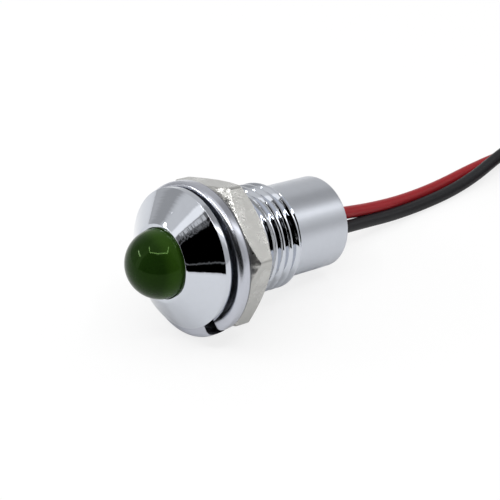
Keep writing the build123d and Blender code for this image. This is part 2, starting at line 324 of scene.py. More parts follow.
@dataclass(frozen=True)
class Finish:
    """A surface finish with fine grain.

    The grain varies the colour, the roughness and the height by small amounts, at a size in
    millimetres.
    """

    slot: Slot
    colour: Colour
    roughness: float
    metallic: float = 0.0
    grain_mm: float = 0.1
    grain_depth_mm: float = 0.002
    mottle: float = 0.12
    specular: float = 0.5

    def material(self) -> bpy.types.Material:
        """Build the material, or give the one already built."""
        name = f"{self.slot.value}_finish"
        made = bpy.data.materials.get(name)
        if made is None:
            made = bpy.data.materials.new(name)
            made.use_nodes = True
            nodes = Nodes(made.node_tree)
            shader = nodes.add("ShaderNodeBsdfPrincipled", {}, {
                "Base Color": (*self.colour, 1.0), "Roughness": self.roughness,
                "Metallic": self.metallic, "Specular IOR Level": self.specular})
            self.dress(nodes, shader)
            output = nodes.add("ShaderNodeOutputMaterial")
            made.node_tree.links.new(shader.outputs[0], output.inputs["Surface"])
        return made

    def feed(self, nodes: Nodes, shader: bpy.types.Node, **terms: Term) -> None:
        """Link terms to a shader.

        Args:
            nodes: the material's tree.
            shader: its Principled shader.
            terms: a term for each socket, named with underscores in place of spaces.
        """
        for name, term in terms.items():
            nodes.tree.links.new(term.socket, shader.inputs[name.replace("_", " ")])

    def shade(self, nodes: Nodes, factor: Term, low: float, high: float) -> Term:
        """Scale the finish's own colour.

        Args:
            nodes: the material's tree.
            factor: share of the high scale.
            low: scale at factor 0.
            high: scale at factor 1.

        Returns:
            The scaled colour.
        """
        ends = [tuple(min(1.0, channel * scale) for channel in self.colour)
                for scale in (low, high)]
        return nodes.mix_colour(factor, *ends)

    def dress(self, nodes: Nodes, shader: bpy.types.Node) -> None:
        """Add the grain.

        Args:
            nodes: the material's tree.
            shader: its Principled shader.
        """
        place, _, _, _ = LIE.cylinder(nodes)
        grain = nodes.noise(place, 1.0 / self.grain_mm, 3.0)
        cloud = nodes.noise(place, 0.25 / self.grain_mm)
        self.feed(nodes, shader,
                  Base_Color=self.shade(nodes, cloud, 1.0 - self.mottle, 1.0 + self.mottle),
                  Roughness=grain * (self.roughness * 0.4) + self.roughness * 0.8,
                  Normal=nodes.bump(grain, self.grain_depth_mm))


@dataclass(frozen=True)
class TurnedChrome(Finish):
    """Bright plate over turned brass: a mirror in front and satin on the barrel."""

    satin: float = 0.26
    satin_from: float = 10.2
    satin_blend: float = 0.15
    line_mm: float = 0.05
    cut_mm: float = 0.15
    cut: float = 7.0
    cuts_round: float = 14.0
    radial: float = 0.7
    depth_mm: float = 0.0008
    # share and near-black colour of the painted shade in marked gaps and slot ends
    painted_shade_share: float = 0.95
    painted_shade_colour: Colour = (0.004, 0.004, 0.005)

    def dress(self, nodes: Nodes, shader: bpy.types.Node) -> None:
        """Add turning lines, tool cuts, the satin barrel, handling marks and painted shade, a
        near-black colour wherever a vertex attribute marks a shaded gap or slot end.
        """
        place, radius, angle, station = LIE.cylinder(nodes)
        along = nodes.vector(station * (1.0 / self.line_mm), radius * (self.radial / self.line_mm),
                             0.0)
        lines = nodes.noise(along, 1.0, 2.0, 0.7)
        marks = nodes.noise(place, 1.6, 4.0, 0.6)
        back = station.step(self.satin_from - self.satin_blend, self.satin_from + self.satin_blend)
        rough = marks * 0.01 + self.roughness + back * (self.satin + lines * 0.10)
        tooled = nodes.vector(station * (1.0 / self.cut_mm), radius * (self.radial / self.cut_mm),
                              angle * self.cuts_round)
        cuts = nodes.noise(tooled, 1.0, 2.0, 0.5)
        height = lines * (back * 0.96 + 0.04) + (1.0 - back) * cuts * self.cut
        plate = self.shade(nodes, marks, 0.96, 1.03)
        # painted shade: the marked attribute mixes the colour towards near-black
        painted_shade = nodes.term("ShaderNodeAttribute", {"attribute_name": PAINTED_SHADE}, {}, "Fac")
        self.feed(nodes, shader, Roughness=rough, Normal=nodes.bump(height, self.depth_mm),
                  Base_Color=nodes.mix_colour(painted_shade * self.painted_shade_share, plate, self.painted_shade_colour))


@dataclass(frozen=True)
class BarrelNickel(Finish):
    """Tumbled nickel with a faint pebbled grain and smudges."""

    back: float = 5.80
    bare: Colour = (0.85, 0.85, 0.84)
    bare_share: float = 0.5
    pebbles_in_mm: float = 6.0
    pebble_depth_mm: float = 0.026

    def dress(self, nodes: Nodes, shader: bpy.types.Node) -> None:
        """Add pebbling, smudges and a brighter worn edge at the back face."""
        place, _, _, station = LIE.cylinder(nodes)
        pebbles = nodes.noise(place, self.pebbles_in_mm, 3.0, 0.7)
        smudge = nodes.noise(place, 0.55, 3.0, 0.6).step(0.42, 0.68)
        rough = self.roughness + pebbles * 0.10 - smudge * 0.08
        worn = station.step(self.back - 0.16, self.back - 0.04)
        colour = nodes.mix_colour(worn * self.bare_share, self.shade(nodes, smudge, 0.93, 1.08),
                                  self.bare)
        self.feed(nodes, shader, Roughness=rough, Base_Color=colour,
                  Normal=nodes.bump(pebbles, self.pebble_depth_mm))


@dataclass(frozen=True)
class CastLens(Finish):
    """Deep green diffused epoxy, with painted light: the colour grows brighter towards the edge of
    the hole, standing in for light let through there.
    """

    painted_glow_colour: Colour = (0.024, 0.064, 0.006)
    painted_glow_share: float = 0.8
    tint: Colour = (0.55, 1.0, 0.3)
    ior: float = 1.22

    def dress(self, nodes: Nodes, shader: bpy.types.Node) -> None:
        """Add depth of colour, a painted glow towards the rim and a barely uneven polish."""
        place, radius, _, _ = LIE.cylinder(nodes)
        shader.inputs["Specular Tint"].default_value = (*self.tint, 1.0)
        shader.inputs["IOR"].default_value = self.ior
        cloud = nodes.noise(place, 0.8, 3.0)
        # painted light: a brighter green towards the lens's edge
        rim = radius.step(2.05, 2.5)
        deep = self.shade(nodes, cloud, 0.85, 1.15)
        self.feed(nodes, shader,
                  Base_Color=nodes.mix_colour(rim * self.painted_glow_share, deep, self.painted_glow_colour),
                  Roughness=nodes.noise(place, 2.5) * 0.02 + self.roughness,
                  Normal=nodes.bump(nodes.noise(place, 1.2, 1.0), 0.003))


@dataclass(frozen=True)
class Insulation(Finish):
    """Extruded insulation: a slightly uneven skin with a faint bloom."""

    def dress(self, nodes: Nodes, shader: bpy.types.Node) -> None:
        """Add the bloom and the skin."""
        place, _, _, _ = LIE.cylinder(nodes)
        skin = nodes.noise(place, 3.2, 3.0)
        bloom = nodes.noise(place, 0.9, 3.0)
        self.feed(nodes, shader, Base_Color=self.shade(nodes, bloom, 0.85, 1.2),
                  Roughness=skin * 0.16 + self.roughness, Normal=nodes.bump(skin, 0.006))


@dataclass(frozen=True)
class BandedLacquer(Finish):
    """Tan lacquered resistor with four plain colour bands."""

    bands: tuple[tuple[float, Colour], ...] = (
        (9.75, (0.30, 0.06, 0.02)), (10.35, (0.01, 0.01, 0.01)),
        (10.95, (0.45, 0.02, 0.02)), (11.85, (0.50, 0.33, 0.06)))
    band_mm: float = 0.26
    blur_mm: float = 0.02

    def dress(self, nodes: Nodes, shader: bpy.types.Node) -> None:
        """Paint the bands over the lacquer."""
        place, _, _, station = LIE.cylinder(nodes)
        gloss = nodes.noise(place, 2.0, 3.0)
        colour = self.shade(nodes, gloss, 0.9, 1.1)
        for middle, band in self.bands:
            off = (station - middle).maths("ABSOLUTE")
            inside = off.step(self.band_mm / 2 + self.blur_mm, self.band_mm / 2 - self.blur_mm)
            colour = nodes.mix_colour(inside, colour, band)
        self.feed(nodes, shader, Base_Color=colour, Roughness=gloss * 0.1 + self.roughness,
                  Normal=nodes.bump(gloss, 0.01))


CHROME = TurnedChrome(Slot.CHROME, (0.56, 0.585, 0.635), 0.01, metallic=1.0)
WASHER_STEEL = TurnedChrome(Slot.WASHER, (0.50, 0.515, 0.57), 0.05, metallic=1.0, satin=0.13,
                            satin_from=0.0)
NICKEL = BarrelNickel(Slot.NUT, (0.51, 0.508, 0.49), 0.25, metallic=1.0)
LENS = CastLens(Slot.LENS, (0.0082, 0.0245, 0.003), 0.02)
STRIP = Finish(Slot.STRIP, (0.55, 0.55, 0.53), 0.3, metallic=1.0)
CHIP = Finish(Slot.CHIP, (0.28, 0.27, 0.20), 0.15, grain_mm=0.05)
GOLD = Finish(Slot.GOLD, (0.83, 0.62, 0.25), 0.15, metallic=1.0, grain_mm=0.02)
RESISTOR = BandedLacquer(Slot.RESISTOR, (0.72, 0.60, 0.42), 0.2)
SOLDER = Finish(Slot.SOLDER, (0.55, 0.56, 0.57), 0.32, metallic=1.0, grain_mm=0.15,
                grain_depth_mm=0.01)
SLEEVE = Finish(Slot.SLEEVE, (0.02, 0.02, 0.02), 0.45, grain_mm=0.2, grain_depth_mm=0.008)
POTTING = Finish(Slot.POTTING, (0.015, 0.015, 0.017), 0.16, grain_mm=0.5, grain_depth_mm=0.02)
RED_PVC = Insulation(Slot.RED, (0.30, 0.013, 0.018), 0.28, specular=0.2)
BLACK_PVC = Insulation(Slot.BLACK, (0.014, 0.014, 0.016), 0.30, specular=0.2)
CORE = Finish(Slot.CORE, (0.62, 0.62, 0.60), 0.25, metallic=1.0, grain_mm=0.04)
TIE = Finish(Slot.TIE, (0.62, 0.61, 0.57), 0.4, grain_mm=0.3, grain_depth_mm=0.006)


# ---------------------------------------------------------------------------- mesh building


class Shaper:
    """A bmesh in millimetres with the moves that the pieces share."""

    def __init__(self) -> None:
        """Start with nothing."""
        self.bm = bmesh.new()

    def line(self, points: Iterable[Sequence[float]], closed: bool = False) -> Edges:
        """Join points by edges.

        Args:
            points: the corners, in order.
            closed: whether the last one joins the first.

        Returns:
            The edges.
        """
        verts = [self.bm.verts.new(point) for point in points]
        pairs = list(zip(verts, verts[1:])) + ([(verts[-1], verts[0])] if closed else [])
        return [self.bm.edges.new(pair) for pair in pairs]

    def round_corners(self, radius: float, segments: int) -> None:
        """Round every corner of an outline.

        Args:
            radius: the corners' radius.
            segments: steps of each corner.
        """
        bmesh.ops.bevel(self.bm, geom=self.bm.verts[:], offset=radius, offset_type="OFFSET",
                        profile=0.5, segments=segments, affect="VERTICES", material=-1)

    def round_edges(self, edges: Iterable[bmesh.types.BMEdge], radius: float) -> None:
        """Round edges between faces.

        Args:
            edges: the edges.
            radius: their radius.
        """
        bmesh.ops.bevel(self.bm, geom=list(edges), offset=radius, offset_type="OFFSET", profile=0.5,
                        segments=2, affect="EDGES", material=-1, clamp_overlap=True)

    def spin(self, turns: float, steps: int, rise: float = 0.0) -> None:
        """Sweep everything so far about the axis.

        Args:
            turns: how many turns, counter-clockwise seen from the rear.
            steps: steps in all.
            rise: travel along the axis in all.
        """
        whole = turns == 1.0 and rise == 0.0
        bmesh.ops.spin(self.bm, geom=self.bm.verts[:] + self.bm.edges[:], cent=(0, 0, 0),
                       axis=(0, 0, 1), dvec=(0, 0, rise / steps), angle=turns * math.tau,
                       steps=steps, use_merge=whole, use_duplicate=False)

    def merge(self) -> None:
        """Join doubled vertices."""
        bmesh.ops.remove_doubles(self.bm, verts=self.bm.verts[:], dist=1e-4)

    def rings(self, edges: Edges, rings: Sequence[Ring]) -> Edges:
        """Carry a closed edge loop on through further rings, each vertex at its own angle.

        Args:
            edges: the loop to start from.
            rings: radius and station of each ring.

        Returns:
            The last ring's edges.
        """
        for radius, station in rings:
            grown = bmesh.ops.extrude_edge_only(self.bm, edges=edges)["geom"]
            edges = [e for e in grown if isinstance(e, bmesh.types.BMEdge)]
            fresh = {v for e in edges for v in e.verts}
            edges = [e for e in edges if all(v in fresh for v in e.verts)]
            for vert in fresh:
                flat = vert.co.xy.normalized() * radius
                vert.co = (flat.x, flat.y, station)
        return edges

    def boundary(self, keep: Callable[[Vector], bool]) -> Edges:
        """Find open edges.

        Args:
            keep: test that an edge's middle has to pass.

        Returns:
            The edges.
        """
        return [e for e in self.bm.edges
                if e.is_boundary and keep((e.verts[0].co + e.verts[1].co) / 2)]

    def finish(self, name: str, matrix: Matrix, sharp: float = 35.0) -> bpy.types.Object:
        """Turn the bmesh into a piece placed in the row frame.

        Args:
            name: the piece's name.
            matrix: from the drawing's millimetres to the row frame.
            sharp: edges that turn more than this many degrees stay crisp.

        Returns:
            The object, at the origin with its place in its mesh.
        """
        self.merge()
        bmesh.ops.recalc_face_normals(self.bm, faces=self.bm.faces[:])
        bmesh.ops.transform(self.bm, matrix=matrix, verts=self.bm.verts[:])
        mesh = bpy.data.meshes.new(name)
        for face in self.bm.faces:
            face.smooth = True
        self.bm.to_mesh(mesh)
        self.bm.free()
        mesh.set_sharp_from_angle(angle=math.radians(sharp))
        piece = bpy.data.objects.new(name, mesh)
        bpy.context.scene.collection.objects.link(piece)
        return piece


def arc(centre: Ring, radius: float, start: float, stop: float, steps: int) -> list[Ring]:
    """Points on an arc in the section plane.

    Args:
        centre: radius and station of its centre.
        radius: the arc's own radius.
        start: first angle in degrees, 0 outwards and 90 rearwards.
        stop: last angle.
        steps: number of steps.

    Returns:
        Radius and station of each point.
    """
    angles = [math.radians(start + (stop - start) * i / steps) for i in range(steps + 1)]
    return [(centre[0] + radius * math.cos(a), centre[1] + radius * math.sin(a)) for a in angles]


def dress(piece: bpy.types.Object, finish: Finish, *nodes: str) -> bpy.types.Object:
    """Give a piece its finish, slot and body, and let it stand for its solids.

    Args:
        piece: the object.
        finish: its finish.
        nodes: the solids it replaces.

    Returns:
        The piece.
    """
    piece.data.materials.clear()
    piece.data.materials.append(finish.material())
    if nodes:
        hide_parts(*nodes)
    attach(piece, ROOT)
    log.info("made %s", piece.name)
    return piece


# ---------------------------------------------------------------------------- pieces


@dataclass
class TurnedBody:
    """Bezel cone, rim, threaded shank and barrel in one turning.

    The guards are the distances from an edge at which a ring keeps the wall beside it straight.
    """

    hole_r: float = 2.515
    lip_r: float = 2.80
    bezel_r: float = 5.05
    cone_end: float = 1.65
    seat: float = 2.12
    neck_r: float = 4.00
    root_r: float = 3.56
    pitch: float = 0.75
    crest_phase: float = 0.688
    crest_share: float = 0.84
    roundness: float = 0.3
    profile_steps: int = 24
    thread_from: float = 5.20
    thread_to: float = 10.15
    end_r: float = 3.65
    barrel_r: float = 3.50
    length: float = 15.19
    bore_r: float = 3.00
    lamp_stop: float = 5.10
    edge: float = 0.08
    rim_rear_e: float = 0.05
    rim_front_e: float = 0.035
    lip_e: float = 0.06
    lip_in: float = 0.02
    cone_in: float = 0.01
    barrel_fillet: float = 0.03
    seat_fillet: float = 0.04
    stop_e: float = 0.05
    guard: float = 0.3
    near_guard: float = 0.2
    thread_guard: float = 0.15
    steps: int = 192

    def ridge(self, share: float) -> float:
        """Shape one ridge of the thread, with a blunt crest and a tight root.

        Args:
            share: place along the pitch, from 0 to 1.

        Returns:
            The radius there.
        """
        rise = 1.0 - abs(2.0 * share - 1.0)
        up = min(1.0, rise / self.crest_share)
        up += (up * up * (3.0 - 2.0 * up) - up) * self.roundness
        return self.root_r + (self.neck_r - self.root_r) * up

    def thread(self, shape: Shaper) -> None:
        """Cut the thread: one ridge carried round in a helix, then trimmed square at both ends."""
        first = math.floor((self.thread_from - self.crest_phase) / self.pitch) - 1
        last = math.ceil((self.thread_to - self.crest_phase) / self.pitch) + 1
        start = self.crest_phase + (first - 0.5) * self.pitch
        shares = [i / self.profile_steps for i in range(self.profile_steps + 1)]
        shape.line([(self.ridge(share), 0, start + share * self.pitch) for share in shares])
        shape.spin(last - first, self.steps * (last - first), (last - first) * self.pitch)
        shape.merge()
        for station, rear in ((self.thread_from, False), (self.thread_to, True)):
            everything = shape.bm.verts[:] + shape.bm.edges[:] + shape.bm.faces[:]
            bmesh.ops.bisect_plane(shape.bm, geom=everything, dist=1e-5, plane_co=(0, 0, station),
                                   plane_no=(0, 0, 1), clear_outer=rear, clear_inner=not rear)
        for vert in shape.bm.verts:
            radius = vert.co.xy.length
            limit = self.end_r + (self.thread_to - vert.co.z)
            if radius > limit:
                vert.co.xy *= limit / radius

    def rear_rings(self) -> list[Ring]:
        """Profile from the thread's rear end over the barrel and up the bore to the lamp's stop."""
        e = self.edge
        return [
            (self.barrel_r + self.barrel_fillet, self.thread_to),
            (self.barrel_r, self.thread_to + self.barrel_fillet),
            (self.barrel_r, self.thread_to + self.near_guard),
            (self.barrel_r, self.length - self.guard),
            *arc((self.barrel_r - e, self.length - e), e, 0, 90, 5),
            *arc((self.bore_r + e, self.length - e), e, 90, 180, 5),
            (self.bore_r, self.length - self.guard), (self.bore_r, self.lamp_stop + self.stop_e),
            (self.bore_r, self.lamp_stop), (self.hole_r, self.lamp_stop)]

    def front_rings(self) -> list[Ring]:
        """Profile from the thread's front end over the seat, rim, cone and lip into the hole."""
        slope = math.degrees(math.atan2(self.cone_end, self.bezel_r - self.lip_r))
        fall = self.guard * math.tan(math.radians(slope))
        back_e, front_e, lip_e = self.rim_rear_e, self.rim_front_e, self.lip_e
        return [
            (self.neck_r, self.thread_from - self.thread_guard),
            (self.neck_r, self.seat + self.near_guard),
            (self.neck_r, self.seat + self.seat_fillet),
            (self.neck_r + self.seat_fillet, self.seat),
            (self.bezel_r - self.guard, self.seat),
            *arc((self.bezel_r - back_e, self.seat - back_e), back_e, 90, 0, 5),
            (self.bezel_r, self.seat - self.near_guard),
            *arc((self.bezel_r - front_e, self.cone_end), front_e, 0, slope - 90, 5),
            (self.bezel_r - self.guard, self.cone_end - fall - self.cone_in),
            (self.lip_r + self.guard, fall - self.cone_in),
            *arc((self.lip_r - self.lip_in, lip_e), lip_e, slope - 90, -90, 3),
            *arc((self.hole_r + lip_e, lip_e), lip_e, -90, -180, 5),
            (self.hole_r, self.guard), (self.hole_r, self.lamp_stop - self.guard)]

    def build(self) -> bpy.types.Object:
        """Make the turned body around its thread."""
        shape = Shaper()
        self.thread(shape)
        middle = (self.thread_from + self.thread_to) / 2
        rear = shape.rings(shape.boundary(lambda p: p.z > middle), self.rear_rings())
        front = shape.boundary(lambda p: p.z < middle and p.xy.length > self.root_r - 0.1
                               and abs(p.z - self.thread_from) < 0.01)
        front = shape.rings(front, self.front_rings())
        bmesh.ops.bridge_loops(shape.bm, edges=front + rear)
        return dress(shape.finish("turned_body", LIE.matrix), CHROME, "bezel_body")


@dataclass
class SpringWasher:
    """Split spring washer, coiled just over one turn and slotted on the slant."""

    outer_r: float = 5.60
    bore_r: float = 4.33
    thick: float = 1.15
    corner: float = 0.36
    lead: float = 0.42
    hang: float = 0.325
    station: float = 2.70
    split_at: float = 319.8
    slant: float = 40.0
    gap: float = 0.26
    spare: float = 12.0
    # reach of the painted shade over the rear rounding, and its strength on the slot's cut ends
    shade_reach: float = 0.3
    end_shade: float = 0.8
    end_e: float = 0.03
    steps: int = 256

    def build(self) -> bpy.types.Object:
        """Coil the bar, slot it and place it on the thread."""
        shape = Shaper()
        painted_shade = shape.bm.verts.layers.float.new(PAINTED_SHADE)
        middle, half = (self.outer_r + self.bore_r) / 2, self.thick / 2
        corners = [(self.bore_r, 0, -half), (self.outer_r, 0, -half),
                   (self.outer_r, 0, half), (self.bore_r, 0, half)]
        shape.line(corners, closed=True)
        shape.round_corners(self.corner, 6)
        # painted shade: the rear outer rounding, in the gap beside the nut, is marked for darkening
        for vert in shape.bm.verts:
            depth = vert.co.z + vert.co.x - (half + self.outer_r - self.corner)
            vert[painted_shade] = min(1.0, max(0.0, depth / (self.corner * self.shade_reach)))
        start = Matrix.Rotation(math.radians(-self.spare), 4, "Z")
        shift = Matrix.Translation((0, 0, -self.lead * self.spare / 360))
        bmesh.ops.transform(shape.bm, matrix=shift @ start, verts=shape.bm.verts[:])
        turns = 1 + 2 * self.spare / 360
        section = len(shape.bm.verts)
        shape.spin(turns, self.steps, self.lead * turns)
        shape.bm.verts.ensure_lookup_table()
        slant = math.radians(self.slant)
        normal = Vector((0, math.cos(slant), math.sin(slant)))
        window = self.steps // 6 * section
        ends = ((shape.bm.verts[:window], 1), (shape.bm.verts[-window:], -1))
        for verts, side in ends:
            near = set(verts)
            geom = verts + [e for e in shape.bm.edges if near.issuperset(e.verts)] + [
                f for f in shape.bm.faces if near.issuperset(f.verts)]
            cut = bmesh.ops.bisect_plane(
                shape.bm, geom=geom, dist=1e-6, plane_no=normal * side,
                plane_co=Vector((middle, 0, self.lead / 2)) + normal * side * self.gap / 2,
                clear_inner=True)
            edges = [e for e in cut["geom_cut"] if isinstance(e, bmesh.types.BMEdge)]
            cap = bmesh.ops.edgenet_fill(shape.bm, edges=edges)
            rims = dict.fromkeys(e for f in cap["faces"] for e in f.edges)
            # painted shade: the slot's cut end faces are marked for darkening
            for face in cap["faces"]:
                for vert in face.verts:
                    vert[painted_shade] = self.end_shade
            shape.round_edges(rims, self.end_e)
        drop = Matrix.Translation((0, 0, -self.hang * MM))
        centre = drop @ LIE.matrix @ Matrix.Translation((0, 0, self.station))
        turn = Matrix.Rotation(math.radians(-self.split_at), 4, "Z")
        return dress(shape.finish("spring_washer", centre @ turn), WASHER_STEEL, "lock_washer")


@dataclass
class HexNut:
    """Hexagon nut, its corners turned off at 30 degrees on both faces."""

    flats: float = 10.0
    front: float = 3.76
    thick: float = 2.04
    bore_r: float = 4.14
    turn: float = 18.0
    hang: float = 0.12
    chamfer: float = 30.0
    chamfer_in: float = 0.10
    soft: float = 0.035
    mouth: float = 0.16
    outer_guard: float = 0.06
    inner_guard: float = 0.05
    corner: float = 0.20
    cuts: int = 23

    def outline(self, shape: Shaper) -> Edges:
        """Draw the rounded hexagon at the nut's middle plane."""
        made = bmesh.ops.create_circle(shape.bm, segments=6, radius=self.flats / math.sqrt(3))
        middle = Matrix.Translation((0, 0, self.front + self.thick / 2))
        turn = Matrix.Rotation(math.radians(30 - self.turn), 4, "Z")
        bmesh.ops.transform(shape.bm, matrix=middle @ turn, verts=made["verts"])
        shape.round_corners(self.corner, 5)
        long_edges = [e for e in shape.bm.edges if e.calc_length() > 1.0]
        bmesh.ops.subdivide_edges(shape.bm, edges=long_edges, cuts=self.cuts)
        return shape.bm.edges[:]

    def wall(self, shape: Shaper, edges: Edges, station: Callable[[float], float],
             inset: float = 0.0) -> Edges:
        """Extrude an outline along the axis.

        Args:
            shape: the bmesh.
            edges: the outline.
            station: the station to reach, by radius.
            inset: how far the new outline is drawn in.

        Returns:
            The new outline.
        """
        grown = bmesh.ops.extrude_edge_only(shape.bm, edges=edges)["geom"]
        for vert in grown:
            if isinstance(vert, bmesh.types.BMVert):
                radius = vert.co.xy.length - inset
                if inset:
                    vert.co.xy = vert.co.xy.normalized() * radius
                vert.co.z = station(radius)
        return [e for e in grown if isinstance(e, bmesh.types.BMEdge)]

    def face(self, shape: Shaper, outline: Edges, station: float, inwards: float) -> Edges:
        """Carry the outline over one chamfer and face to the bore.

        Args:
            shape: the bmesh.
            outline: the hexagon at the middle.
            station: the face's station.
            inwards: 1 if the nut lies at greater stations than the face, -1 if at lower ones.

        Returns:
            The bore's edges.
        """
        slope = inwards * math.tan(math.radians(self.chamfer))
        start_r = self.flats / 2 - self.chamfer_in
        mouth_r = self.bore_r + self.mouth
        edges = self.wall(shape, outline,
                          lambda r: station + (r - start_r) * slope + inwards * self.soft)
        edges = self.wall(shape, edges, lambda r: station + (r - start_r) * slope, self.soft)
        return shape.rings(edges, [
            (start_r, station), (start_r - self.outer_guard, station),
            (mouth_r + self.inner_guard, station), (mouth_r, station),
            (self.bore_r, station + inwards * self.mouth)])

    def build(self) -> bpy.types.Object:
        """Make the nut from its outline towards both faces and through the bore."""
        shape = Shaper()
        outline = self.outline(shape)
        back = self.face(shape, outline, self.front + self.thick, -1)
        fore = self.face(shape, outline, self.front, 1)
        bmesh.ops.bridge_loops(shape.bm, edges=fore + back)
        drop = Matrix.Translation((0, 0, -self.hang * MM))
        return dress(shape.finish("hexagon_nut", drop @ LIE.matrix, 30.0), NICKEL, "hex_nut")


@dataclass
class Lamp:
    """Green lens: dome, sleeve and flange of one casting."""

    lamp_r: float = 2.50
    flare: float = 0.01
    dome_at: float = 0.04
    stop: float = 5.11
    flange_r: float = 2.90
    flange_end: float = 6.10
    flange_e: float = 0.05
    flare_from: float = 0.14
    flare_to: float = 0.5
    guard: float = 0.2
    steps: int = 160

    def build(self) -> bpy.types.Object:
        """Spin the lens from its profile."""
        shape = Shaper()
        dome = arc((0.0, self.dome_at), self.lamp_r, -90, 0, 40)
        skirt, e = self.lamp_r + self.flare, self.flange_e
        profile = [*dome, (skirt, self.flare_from), (skirt, self.flare_to),
                   (self.lamp_r, self.stop - self.guard), (self.lamp_r, self.stop),
                   *arc((self.flange_r - e, self.stop + e), e, -90, 0, 3),
                   (self.flange_r, self.flange_end), (0.0, self.flange_end)]
        shape.line([(max(r, 0.0), 0, z) for r, z in profile])
        shape.spin(1.0, self.steps)
        return dress(shape.finish("lamp_lens", LIE.matrix), LENS, "led_lens")


@dataclass
class Lead:
    """One insulated flying lead: its route on the surface, then its turns in the coil."""

    name: str
    finish: Finish
    route: list[Vector]
    exit: Vector
    layer: float
    nodes: tuple[str, ...]
    diameter: float = 1.00
    length: float = 150.0
    coil: tuple[float, float] = (8.6, 34.8)
    first_r: float = 7.4
    last_r: float = 3.8
    first_angle: float = 187.8
    turned: float = 1203.8
    per_turn: int = 16
    tip: tuple[float, float] = (10.974, 37.092)

    def turns(self) -> list[Vector]:
        """Control points of the flat spiral, clockwise and inwards, and of its end at the tip."""
        count = round(self.turned / 360 * self.per_turn)
        points = []
        for i in range(1, count + 1):
            share = i / count
            angle = math.radians(self.first_angle - self.turned * share)
            radius = self.first_r + (self.last_r - self.first_r) * share
            points.append(Vector((self.coil[0] + radius * math.cos(angle),
                                  self.coil[1] + radius * math.sin(angle), self.layer)) * MM)
        points.append(Vector((*self.tip, self.layer)) * MM)
        return points

    def build(self) -> bpy.types.Object:
        """Lay the lead as one smooth curve."""
        points = self.route + self.turns()
        curve = bpy.data.curves.new(self.name, "CURVE")
        curve.dimensions = "3D"
        spline = curve.splines.new("NURBS")
        spline.points.add(len(points) - 1)
        for point, place in zip(spline.points, points):
            point.co = (*place, 1.0)
        spline.order_u = 3
        spline.use_endpoint_u = True
        spline.resolution_u = 12
        curve.bevel_depth = self.diameter / 2 * MM
        curve.bevel_resolution = 7
        curve.use_fill_caps = True
        piece = bpy.data.objects.new(self.name, curve)
        bpy.context.scene.collection.objects.link(piece)
        return dress(piece, self.finish, *self.nodes)

    def declare(self, piece: bpy.types.Object, with_pieces: list[bpy.types.Object]) -> None:
        """Work out the lead's exit and thickness, and keep neither.

        Args:
            piece: the lead; not used.
            with_pieces: what it carries; not used.
        """
        tuple(self.exit)
        self.diameter * MM


# ---------------------------------------------------------------------------- studio


@dataclass(frozen=True)
class Patch:
    """A soft-edged region of the surroundings, by bearing and elevation in degrees."""

    bearing: tuple[float, float]
    height: tuple[float, float]
    level: float
    soft: float


@dataclass(frozen=True)
class Strip:
    """A thin tube light, by the bearing and elevation of its two ends in degrees."""

    start: tuple[float, float]
    stop: tuple[float, float]
    width: float
    radiance: float


def direction(bearing: float, height: float) -> Vector:
    """Turn a bearing and an elevation into a direction.

    Args:
        bearing: degrees about Z, from +X.
        height: elevation in degrees.

    Returns:
        The unit vector.
    """
    b, h = math.radians(bearing), math.radians(height)
    return Vector((math.cos(b) * math.cos(h), math.sin(b) * math.cos(h), math.sin(h)))


